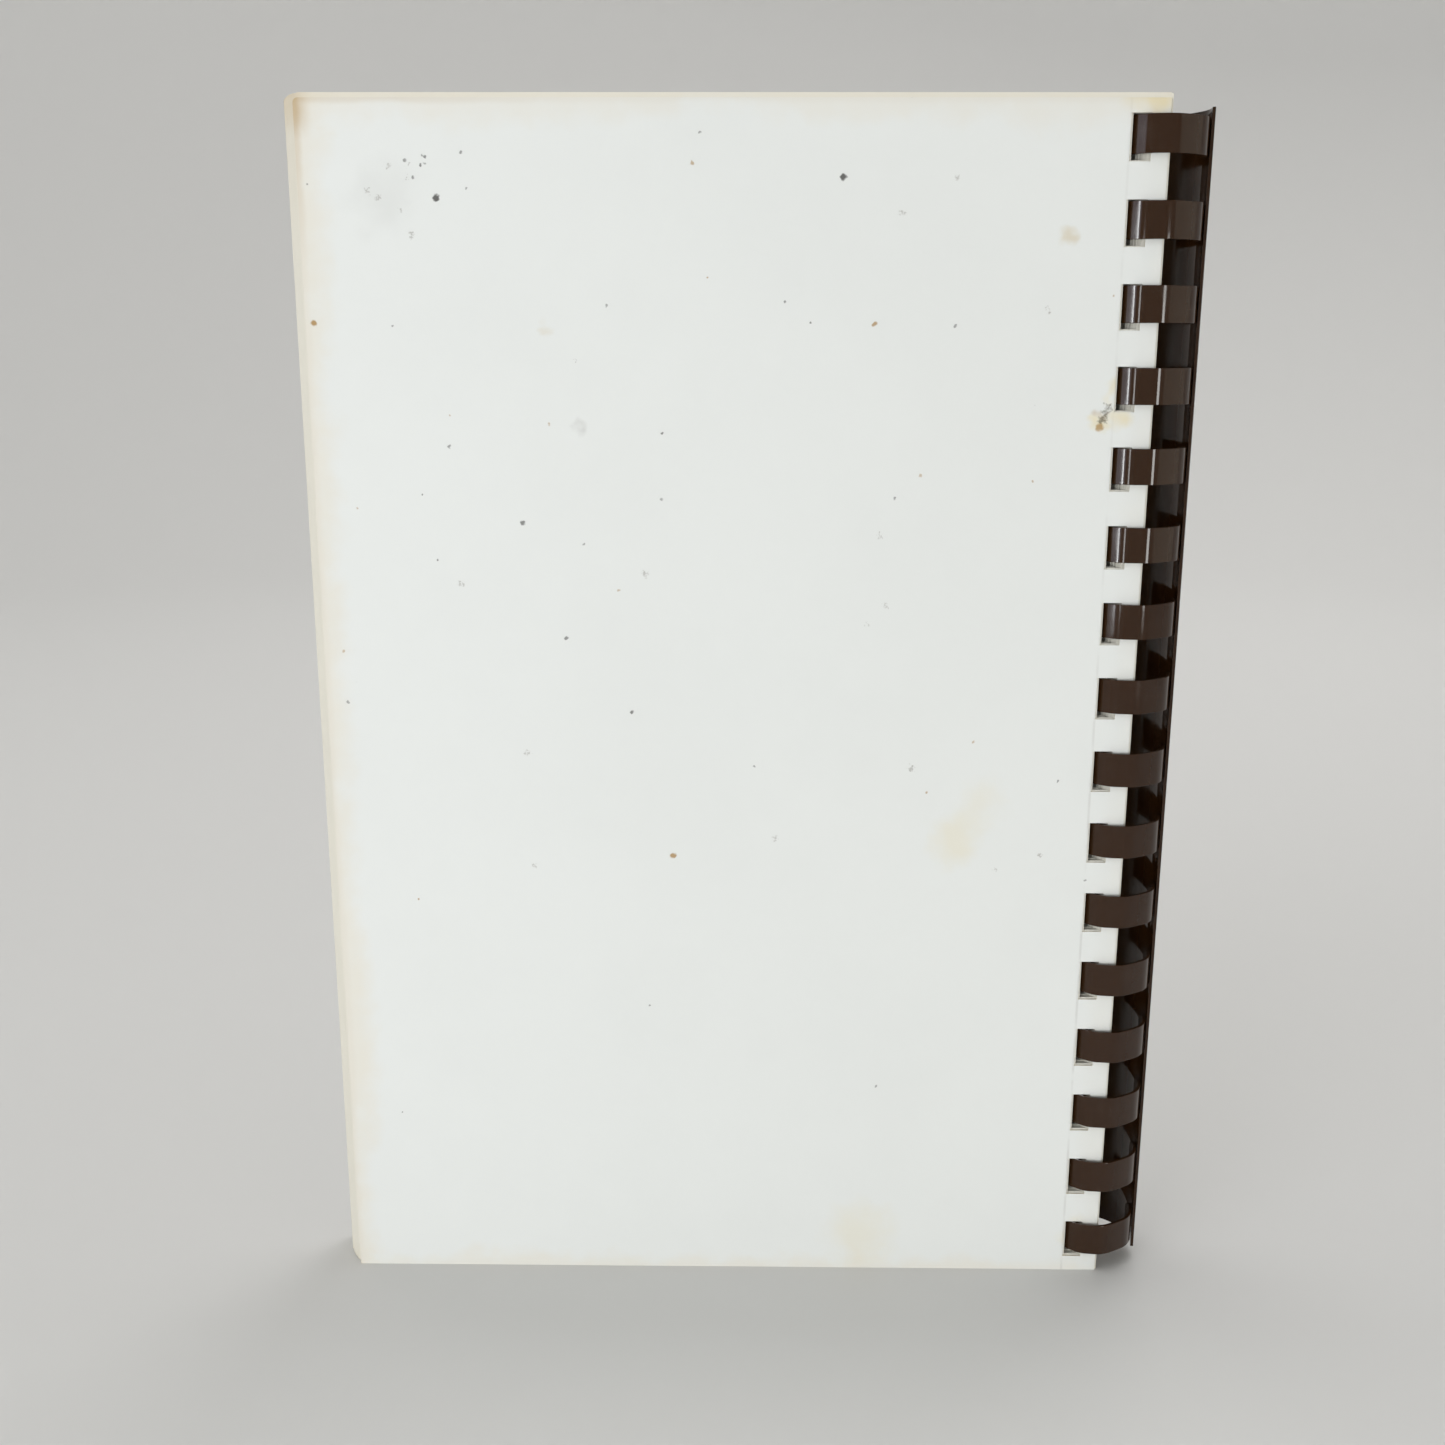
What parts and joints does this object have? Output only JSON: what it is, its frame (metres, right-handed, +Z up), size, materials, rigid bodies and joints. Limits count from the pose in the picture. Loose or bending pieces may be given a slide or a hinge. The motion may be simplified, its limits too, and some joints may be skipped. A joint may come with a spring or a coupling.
{
  "type": "comb-bound book",
  "caption": "Comb-bound book: punched leaves between two creased card covers on a curled plastic comb, so leaves and covers turn.",
  "frame": {"origin": "bottom centre of the whole book, on the surface that its lower edges stand on", "axes": "+Z up along the spine, +X from the fore-edge to the comb, so the back cover faces -Y and the front cover +Y"},
  "size_m": [0.1656, 0.0188, 0.2286],
  "materials": {
    "comb_plastic": "gloss",
    "leaf_paper": "matte",
    "cover_card": "matte"
  },
  "bodies": {
    "comb": {"comb": "comb_plastic"},
    "rear_leaves_inner": {"leaf_28": "leaf_paper", "leaf_29": "leaf_paper", "leaf_30": "leaf_paper", "leaf_31": "leaf_paper", "leaf_32": "leaf_paper", "leaf_33": "leaf_paper", "leaf_34": "leaf_paper", "leaf_35": "leaf_paper", "leaf_36": "leaf_paper"},
    "rear_leaves_middle": {"leaf_37": "leaf_paper", "leaf_38": "leaf_paper", "leaf_39": "leaf_paper", "leaf_40": "leaf_paper", "leaf_41": "leaf_paper", "leaf_42": "leaf_paper", "leaf_43": "leaf_paper", "leaf_44": "leaf_paper", "leaf_45": "leaf_paper"},
    "rear_leaves_outer": {"leaf_46": "leaf_paper", "leaf_47": "leaf_paper", "leaf_48": "leaf_paper", "leaf_49": "leaf_paper", "leaf_50": "leaf_paper", "leaf_51": "leaf_paper", "leaf_52": "leaf_paper", "leaf_53": "leaf_paper", "leaf_54": "leaf_paper", "back_cover_binding_strip": "cover_card"},
    "back_cover": {"back_cover": "cover_card"},
    "front_leaves_inner": {"leaf_19": "leaf_paper", "leaf_20": "leaf_paper", "leaf_21": "leaf_paper", "leaf_22": "leaf_paper", "leaf_23": "leaf_paper", "leaf_24": "leaf_paper", "leaf_25": "leaf_paper", "leaf_26": "leaf_paper", "leaf_27": "leaf_paper"},
    "front_leaves_middle": {"leaf_10": "leaf_paper", "leaf_11": "leaf_paper", "leaf_12": "leaf_paper", "leaf_13": "leaf_paper", "leaf_14": "leaf_paper", "leaf_15": "leaf_paper", "leaf_16": "leaf_paper", "leaf_17": "leaf_paper", "leaf_18": "leaf_paper"},
    "front_leaves_outer": {"leaf_01": "leaf_paper", "leaf_02": "leaf_paper", "leaf_03": "leaf_paper", "leaf_04": "leaf_paper", "leaf_05": "leaf_paper", "leaf_06": "leaf_paper", "leaf_07": "leaf_paper", "leaf_08": "leaf_paper", "leaf_09": "leaf_paper", "front_cover_binding_strip": "cover_card"},
    "front_cover": {"front_cover": "cover_card"}
  },
  "joints": [
    {"name": "rear_leaves_inner_turn", "type": "hinge", "parent": "comb", "child": "rear_leaves_inner", "pos_m": [0.07297, -0.00039, 0], "axis": [0, 0, 1], "range_deg": [0, 30]},
    {"name": "rear_leaves_middle_turn", "type": "hinge", "parent": "rear_leaves_inner", "child": "rear_leaves_middle", "pos_m": [0.07297, -0.00039, 0], "axis": [0, 0, 1], "range_deg": [0, 30]},
    {"name": "rear_leaves_outer_turn", "type": "hinge", "parent": "rear_leaves_middle", "child": "rear_leaves_outer", "pos_m": [0.07297, -0.00039, 0], "axis": [0, 0, 1], "range_deg": [0, 30]},
    {"name": "back_cover_fold", "type": "hinge", "parent": "rear_leaves_outer", "child": "back_cover", "pos_m": [0.06651, -0.00779, 0], "axis": [0, 0, 1], "range_deg": [0, 85]},
    {"name": "front_leaves_inner_turn", "type": "hinge", "parent": "comb", "child": "front_leaves_inner", "pos_m": [0.07297, -0.00039, 0], "axis": [0, 0, -1], "range_deg": [0, 25]},
    {"name": "front_leaves_middle_turn", "type": "hinge", "parent": "front_leaves_inner", "child": "front_leaves_middle", "pos_m": [0.07297, -0.00039, 0], "axis": [0, 0, -1], "range_deg": [0, 25]},
    {"name": "front_leaves_outer_turn", "type": "hinge", "parent": "front_leaves_middle", "child": "front_leaves_outer", "pos_m": [0.07297, -0.00039, 0], "axis": [0, 0, -1], "range_deg": [0, 25]},
    {"name": "front_cover_fold", "type": "hinge", "parent": "front_leaves_outer", "child": "front_cover", "pos_m": [0.06281, 0.00266, 0], "axis": [0, 0, -1], "range_deg": [0, 90]}
  ]
}
